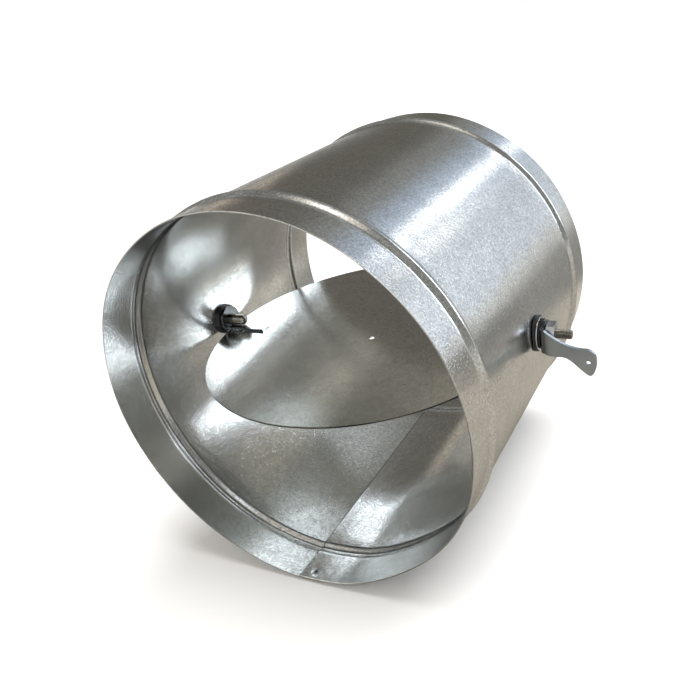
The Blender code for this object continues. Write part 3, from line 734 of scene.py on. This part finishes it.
# Painted shade on the bracket's eye: its strength, where it starts from the eye's face, and how
# softly.
EYE_PAINTED_SHADE = 0.9
EYE_SHADE_FROM_FACE = 0.0030
EYE_SHADE_SOFT = 0.0012


def punched(grid, row, column, centre, edge, reach=3):
    """Draws a block of a grid's cells out to a hole: edge holds the hole's points by their bearing.

    A point that is n rows or columns from the block's middle, where n is edge's block size, goes
    to the hole's edge. Those beyond keep ever more of their own place, over reach more cells.
    """
    block, outline = edge
    rows, columns = np.indices(grid.shape[:2])
    down, across = rows - row, columns - column
    ring = np.maximum(np.abs(down), np.abs(across))
    bearing = np.arctan2(across, down)
    target = centre + outline(bearing)
    keep = ease((ring - block) / reach)[..., None]
    return keep * grid + (1 - keep) * target, ring < block


def plate(name, middle, left_out, thick, edge):
    """A stamped plate from its middle surface: both faces, the cut edges and a small bevel.

    The faces lie half the thickness each way along the surface's normal, which is the cross
    product of its slopes. left_out marks the points inside holes, whose cells get no face.
    """
    slopes = np.gradient(middle, axis=0), np.gradient(middle, axis=1)
    normal = np.cross(*slopes)
    normal[left_out] = 1.0
    normal /= np.linalg.norm(normal, axis=-1, keepdims=True)
    rows, columns = middle.shape[:2]
    count = rows * columns
    index = np.arange(count).reshape(rows, columns)
    corners = [index[:-1, :-1], index[1:, :-1], index[1:, 1:], index[:-1, 1:]]
    open_cell = np.any([left_out.reshape(-1)[corner] for corner in corners], axis=0)
    quads = np.stack(corners, axis=-1)[~open_cell]
    sides = np.concatenate([quads[:, [i, (i + 1) % 4]] for i in range(4)])
    found, times = np.unique(np.sort(sides, axis=1), axis=0, return_counts=True)
    single = {tuple(pair) for pair in found[times == 1]}
    cut = np.array([pair for pair in sides if tuple(sorted(pair)) in single])
    walls = np.stack([cut[:, 1], cut[:, 0], cut[:, 0] + count, cut[:, 1] + count], axis=-1)
    faces = np.concatenate([quads, quads[:, ::-1] + count, walls])
    points = np.concatenate([middle + normal * thick / 2, middle - normal * thick / 2])
    mesh = bpy.data.meshes.new(name)
    mesh.from_pydata(points.reshape(-1, 3), [], faces.tolist())
    tidy = bmesh.new()
    tidy.from_mesh(mesh)
    loose = [vert for vert in tidy.verts if not vert.link_faces]
    bmesh.ops.delete(tidy, geom=loose, context="VERTS")
    bmesh.ops.recalc_face_normals(tidy, faces=tidy.faces)
    tidy.to_mesh(mesh)
    tidy.free()
    made = bpy.data.objects.new(name, mesh)
    bpy.context.scene.collection.objects.link(made)
    rounding = made.modifiers.new("broken_edges", "BEVEL")
    rounding.width = edge
    rounding.segments = 3
    rounding.limit_method = "ANGLE"
    rounding.angle_limit = math.radians(50)
    return made


def bracket_blank():
    """The bracket before it is folded, as (across, down) on a grid, with its eye's hole.

    The half width is that of the eye's circle down to its middle, and then eases to the tongue's.
    """
    turn = np.linspace(0.06, 1, 14) * math.pi / 2
    end = TONGUE_BELOW - JOGGLE_HEIGHT + TONGUE_END
    close, wide = np.linspace(0, CLOSE_ROWS, 13)[1:], np.linspace(CLOSE_ROWS, end, 44)[1:]
    down = np.concatenate([-BRACKET_EYE * np.cos(turn), close, wide])
    circle = np.sqrt(np.maximum(BRACKET_EYE**2 - down**2, 0))
    neck = BRACKET_EYE + (TONGUE_HALF - BRACKET_EYE) * ease(down / TONGUE_BELOW)
    half = np.where(down < 0, circle, neck)
    across = np.linspace(-1, 1, 21)
    grid = np.stack(np.broadcast_arrays(across[None, :] * half[:, None], down[:, None]), axis=-1)
    hole = PIVOT_RADIUS + BORE_GAP

    def outline(bearing):
        return hole * np.stack([np.sin(bearing), np.cos(bearing)], axis=-1)

    return punched(grid, 13, 10, np.zeros(2), (4, outline))


def folded_bracket(blank, side):
    """The blank round its fold: an arc between two straights, then a drop that eases in and out."""
    across, down = blank[..., 0], blank[..., 1]
    middle = BRACKET_FACE - BRACKET_SHEET / 2
    level = TONGUE_BELOW - JOGGLE_HEIGHT + BRACKET_SHEET / 2
    start = level - BRACKET_BEND
    turn = np.clip((down - start) / BRACKET_BEND, 0, math.pi / 2)
    run = np.maximum(down - start - BRACKET_BEND * math.pi / 2, 0)
    along = middle - BRACKET_BEND * (1 - np.cos(turn)) - run
    height = -np.minimum(down, start) - BRACKET_BEND * np.sin(turn)
    drop = JOGGLE_HEIGHT * ease((BRACKET_FACE - JOGGLE_START - along) / JOGGLE_LENGTH)
    return on_shaft(np.stack([side * along, across, height - drop], axis=-1))


def bracket_painted_shade(x, y, z):
    """Painted shade all over the eye, down to the fold, and on the tongue's cut edges."""
    across = off_shaft(y, z)[0]
    eye = ease((np.abs(x) - BRACKET_FACE + EYE_SHADE_FROM_FACE) / EYE_SHADE_SOFT)
    # Painted shade: the eye, and the tongue's cut edges, turned dark.
    return EYE_PAINTED_SHADE * np.maximum(eye, np.abs(across) > TONGUE_HALF - 0.00005)


stamped_zinc = plated("stamped_zinc_plate", "#dfe1e0", "#c6c8c8", 0.20, 0.004, 0.2)
blank, eye_hole = bracket_blank()
for place, side in (("idle", -1), ("drive", 1)):
    folded = folded_bracket(blank, side)
    bracket = plate(place + "_folded_bracket", folded, eye_hole, BRACKET_SHEET, BRACKET_EDGE)
    mark_dirt_and_shade(bracket, bracket_painted_shade)
    fit(bracket, "blade_set", place + "_bracket", stamped_zinc, 30)


# The two pivots, turned from bare steel bar. The idle pin is plain. The drive shaft steps down to a
# threaded stud, which is milled flat at the front and the back to turn the lever with it.

PIVOT_START = 0.1032
PIN_END = 0.1365
PIVOT_DOME = 0.0034
SHOULDER = 0.1251
FLATS_START = 0.1275
STUD_END = 0.1465
STUD_HALF_FLATS = 0.0025
STUD_CHAMFER = 0.0006
THREAD_PITCH = 0.0010
THREAD_DEPTH = 0.00038
THREAD_CREST = 0.08
THREAD_FLANK = 0.78


def turned_steel():
    """Bare bright drawn steel bar, turned: rings of tool marks 0.15 mm apart, and tarnish."""
    made, tree, shader, place = new_finish("bare_turned_steel")
    along = add(tree, "SeparateXYZ", {0: place}).outputs[0]
    rings = {"W": along, "Scale": 6500.0, "Detail": 2.0}
    rings = add(tree, "TexNoise", rings, noise_dimensions="1D")
    tarnish = add(tree, "TexNoise", {"Vector": place, "Scale": 300.0, "Detail": 5.0}).outputs[0]
    colour = {"Factor": tarnish, "A": tone("#7a746a"), "B": tone("#b5b1a8")}
    colour = add(tree, "Mix", colour, data_type="RGBA").outputs[2]
    gloss = add(tree, "MapRange", {0: tarnish, 1: 0.3, 2: 0.7, 3: 0.30, 4: 0.18}).outputs[0]
    bump = add(tree, "Bump", {"Height": rings.outputs[0], "Strength": 0.2, "Distance": 0.00005})
    tree.links.new(colour, shader.inputs["Base Color"])
    tree.links.new(gloss, shader.inputs["Roughness"])
    tree.links.new(bump.outputs[0], shader.inputs["Normal"])
    shader.inputs["Metallic"].default_value = 1.0
    return made


def domed_start():
    """The pivots' rounded inner end: half an ellipse from the axis out to the full radius."""
    turn = np.linspace(0, math.pi / 2, 12)
    return PIVOT_RADIUS * np.sin(turn), PIVOT_START + PIVOT_DOME * (1 - np.cos(turn))


def idle_pin_section():
    """Domed end, straight bar, 45 degree chamfer and flat end."""
    radius, along = domed_start()
    chamfer = 0.0008
    radius = np.concatenate([radius, [PIVOT_RADIUS, PIVOT_RADIUS - chamfer, 0]])
    return radius, np.concatenate([along, [PIN_END - chamfer, PIN_END, PIN_END]])


def drive_shaft_points():
    """Domed end and straight bar, a shoulder, then a thread whose radius falls in with a wave.

    The wave's phase is distance / pitch - angle / full turn, sharpened to a 60 degree ridge. It
    fades in after the shoulder and the end is chamfered. The flats cut the body at y = ± half.
    """
    radius, along = domed_start()
    columns = 96
    turn = np.linspace(0, 2 * math.pi, columns + 1)[:-1]
    rows = np.linspace(SHOULDER + 0.0002, STUD_END, 190)
    phase = rows[:, None] / THREAD_PITCH - turn[None, :] / (2 * math.pi)
    ridge = np.abs(2 * (phase - np.floor(phase + 0.5)))
    groove = 1 - np.clip((ridge - THREAD_CREST) / THREAD_FLANK, 0, 1)
    fade_in = ease((rows - FLATS_START) / THREAD_PITCH)[:, None]
    stud = STUD_RADIUS - THREAD_DEPTH * groove * fade_in
    chamfer = STUD_RADIUS - STUD_CHAMFER + (STUD_END - rows)[:, None]
    stud = np.minimum(stud, chamfer)
    radius = np.concatenate([radius, [PIVOT_RADIUS, STUD_RADIUS]])
    plain = np.repeat(radius[:, None], columns, axis=1)
    radii = np.concatenate([plain, stud, np.zeros((1, columns))])
    along = np.concatenate([along, [SHOULDER, SHOULDER], rows, [STUD_END]])
    along = np.repeat(along[:, None], columns, axis=1)
    points = np.stack([along, radii * np.cos(turn), radii * np.sin(turn)], axis=-1)
    flat = np.where(points[..., 0] >= FLATS_START, STUD_HALF_FLATS, 1.0)
    points[..., 1] = np.clip(points[..., 1], -flat, flat)
    return on_shaft(points)


bare_steel = turned_steel()
idle_pivot = skin("idle_pivot_pin", turned(idle_pin_section(), -1))
fit(idle_pivot, "blade_set", "idle_pin", bare_steel, 40)
drive_pivot = skin("drive_pivot_stud", drive_shaft_points())
fit(drive_pivot, "blade_set", "drive_shaft", bare_steel, 40)


# The lever: 2 mm zinc-plated steel, blanked with a flatted hole that fits the stud and a small hole
# near its tip, then folded once so that the arm stands out sideways and droops to a wider end.

LEVER_SHEET = 0.0020
LEVER_START = 0.1289
LEVER_EYE = 0.0088
LEVER_FOLD_FROM_SHAFT = 0.0100
LEVER_FOLD_RADIUS = 0.0022
LEVER_MIDDLE = LEVER_START + LEVER_SHEET / 2
LEVER_FOLD_IN = LEVER_FOLD_FROM_SHAFT - LEVER_FOLD_RADIUS
LEVER_FOLD_OUT = LEVER_FOLD_IN + LEVER_FOLD_RADIUS * math.pi / 2
LEVER_REACH = 0.0308
LEVER_ROOT = (0.0074, -0.0082)
LEVER_NECK_BOTTOM = -0.0100
LEVER_TIP = (-0.0039, -0.0230)
LEVER_HOLE_RADIUS = 0.0015
LEVER_HOLE_FROM_TIP = 0.0050
LEVER_HOLE_BELOW = 0.0131
LEVER_EDGE = 0.0004
TOP_FALL = 0.80
ROOT_CORNER = 0.22
FLARE_START = 0.33
FLARE_LENGTH = 0.62
TIP_LENGTH = 0.18
TIP_CLOSED = 0.995
TIP_POINT = 0.62
# Painted shade on the lever's faces, and a painted highlight along its top edge.
ARM_PAINTED_SHADE = 0.25
ARM_SHADE_TO_TIP = 0.15
FOLD_PAINTED_SHADE = 0.6
FOLD_SHADE_REACH = 0.0025
PAINTED_HIGHLIGHT_EDGE = 0.0003


def lever_outline(along):
    """The lever's top and bottom at a distance along the flat blank, past the stud's middle.

    Round the stud it is a circle. Towards the fold both edges ease in. On the arm the top falls as
    the square of what is left of its fall, and the bottom eases down a quarter round, runs level
    and flares down in an S. Over the last part both close in on a point between them, as a circle
    does, which rounds the tip. Each part's start and length are shares of the arm's reach.
    """
    circle = np.sqrt(np.maximum(LEVER_EYE**2 - np.minimum(along, 0) ** 2, 0))
    blend = ease(along / LEVER_FOLD_IN)
    top = circle + (LEVER_ROOT[0] - circle) * blend
    bottom = -circle + (LEVER_ROOT[1] + circle) * blend
    share = np.clip((along - LEVER_FOLD_OUT) / LEVER_REACH, 0, 1)
    left = 1 - np.minimum(share / TOP_FALL, 1)
    arm_top = LEVER_TIP[0] + (LEVER_ROOT[0] - LEVER_TIP[0]) * left**2
    corner = np.minimum(share / ROOT_CORNER, 1)
    quarter = np.sqrt(corner * (2 - corner))
    flare = ease((share - FLARE_START) / FLARE_LENGTH)
    arm_bottom = LEVER_NECK_BOTTOM + (LEVER_TIP[1] - LEVER_NECK_BOTTOM) * flare
    arm_bottom = arm_bottom + (LEVER_ROOT[1] - LEVER_NECK_BOTTOM) * (1 - quarter)
    into_tip = np.maximum((share - (1 - TIP_LENGTH)) / TIP_LENGTH, 0)
    close_in = 1 - np.sqrt(1 - (TIP_CLOSED * into_tip) ** 2)
    middle = arm_bottom + TIP_POINT * (arm_top - arm_bottom)
    arm_top = arm_top + (middle - arm_top) * close_in
    arm_bottom = arm_bottom + (middle - arm_bottom) * close_in
    past_fold = along > LEVER_FOLD_OUT
    return np.where(past_fold, arm_top, top), np.where(past_fold, arm_bottom, bottom)


def lever_blank():
    """The lever before it is folded, as (along, height) on a grid, and its two holes."""
    eye_turn = np.linspace(0.05, 1, 14) * math.pi / 2
    straight = np.linspace(0, LEVER_FOLD_IN, 14)[1:]
    fold = np.linspace(LEVER_FOLD_IN, LEVER_FOLD_OUT, 10)[1:]
    arm = LEVER_FOLD_OUT + LEVER_REACH * (1 - np.cos(np.linspace(0, math.pi, 70)[1:])) / 2
    along = np.concatenate([-LEVER_EYE * np.cos(eye_turn), straight, fold, arm])
    top, bottom = lever_outline(along)
    share = np.linspace(0, 1, 31)[None, :]
    height = bottom[:, None] + share * (top - bottom)[:, None]
    grid = np.stack(np.broadcast_arrays(along[:, None], height), axis=-1)
    half = STUD_HALF_FLATS + BORE_GAP

    def flatted(bearing):
        way = np.stack([np.cos(bearing), np.sin(bearing)], axis=-1) * (STUD_RADIUS + BORE_GAP)
        return np.stack([np.clip(way[..., 0], -half, half), way[..., 1]], axis=-1)

    def round_hole(bearing):
        return LEVER_HOLE_RADIUS * np.stack([np.cos(bearing), np.sin(bearing)], axis=-1)

    grid, stud_hole = punched(grid, 13, 15, np.zeros(2), (5, flatted))
    tip = np.array([LEVER_FOLD_OUT + LEVER_REACH - LEVER_HOLE_FROM_TIP, -LEVER_HOLE_BELOW])
    row, column = np.unravel_index(np.argmin(np.linalg.norm(grid - tip, axis=-1)), grid.shape[:2])
    grid, tip_hole = punched(grid, row, column, tip, (2, round_hole))
    return grid, stud_hole | tip_hole


def folded_lever(blank):
    """The blank round its fold: straight along the duct, a quarter circle, then straight out."""
    along, height = blank[..., 0], blank[..., 1]
    turn = np.clip((along - LEVER_FOLD_IN) / LEVER_FOLD_RADIUS, 0, math.pi / 2)
    run = np.maximum(along - LEVER_FOLD_OUT, 0)
    out = LEVER_MIDDLE + LEVER_FOLD_RADIUS * (1 - np.cos(turn)) + run
    front = -np.minimum(along, LEVER_FOLD_IN) - LEVER_FOLD_RADIUS * np.sin(turn)
    return on_shaft(np.stack([out, front, height], axis=-1))


def lever_painted_light(x, y, z):
    """Painted shade on the lever's faces, strong at the fold and faint along the arm.

    The share is 0.25 + 0.15 x run / reach + 0.6 exp(-run / 2.5 mm), where run is the distance from
    the fold. The top edge, all within 0.3 mm of the outline's top, is left unshaded: a painted
    highlight.
    """
    arm_start = LEVER_MIDDLE + LEVER_FOLD_RADIUS
    run = np.clip(x - arm_start, 0, LEVER_REACH)
    top = lever_outline(LEVER_FOLD_OUT + run + 1e-6)[0]
    # Painted highlight: the arm's top edge is left without painted shade.
    highlit_edge = (x > arm_start) & (off_shaft(y, z)[1] > top - PAINTED_HIGHLIGHT_EDGE)
    arm_shade = ARM_PAINTED_SHADE + ARM_SHADE_TO_TIP * run / LEVER_REACH
    return np.where(highlit_edge, 0.0, arm_shade + FOLD_PAINTED_SHADE * np.exp(-run / FOLD_SHADE_REACH))


satin_zinc = plated("satin_zinc_plate", "#dbe6f0", "#c6d1dc", 0.22, 0.02, 0.2)
blank, lever_holes = lever_blank()
damper_lever = plate("damper_lever", folded_lever(blank), lever_holes, LEVER_SHEET, LEVER_EDGE)
mark_dirt_and_shade(damper_lever, lever_painted_light)
fit(damper_lever, "blade_set", "lever", satin_zinc, 30)


# The nuts: bright zinc-plated steel hexagons with both ends' corners turned off. One clamps the
# lever on the stud, and the other keeps the idle pin in place.

NUT_HALF_FLATS = 0.0070
NUT_THICKNESS = 0.0060
NUT_FACE = 0.985 * NUT_HALF_FLATS
NUT_CONE = 0.577
NUT_SINK = 0.0005
IDLE_NUT_START = 0.1289
LOCK_NUT_START = 0.1311


def nut_section(start, hole, columns=144):
    """Bore with countersinks, two end faces, and six flats joined to the faces by a turned cone.

    At angle a the flats lie at half flats / cos(a's distance from a flat's middle). The cone rises
    0.577 for each unit outside the end face's radius.
    """
    turn = np.linspace(0, 2 * math.pi, columns + 1)[:-1]
    flat = NUT_HALF_FLATS / np.cos(np.mod(turn, math.pi / 3) - math.pi / 6)
    face = np.full(columns, NUT_FACE)
    drop = NUT_CONE * (flat - face)
    end = start + NUT_THICKNESS
    radii = [hole, hole + NUT_SINK, face - 0.0002, face, flat - 0.00006, flat]
    radii = radii + radii[::-1]
    along = [start + NUT_SINK, start, start, start + 0.00005, start + drop, start + drop + 0.0001]
    along += [end - drop - 0.0001, end - drop, end - 0.00005, end, end, end - NUT_SINK]
    radii = np.stack([np.broadcast_to(value, columns) for value in radii])
    return radii, np.stack([np.broadcast_to(value, columns) for value in along])


for place, side, start, shaft in (
    ("idle", -1, IDLE_NUT_START, PIVOT_RADIUS),
    ("lock", 1, LOCK_NUT_START, STUD_RADIUS),
):
    section = nut_section(start, shaft + BORE_GAP)
    nut = skin(place + "_hexagon_nut", turned(section, side, columns=144), along=True)
    fit(nut, "blade_set", place + "_nut", bright_zinc, 20)
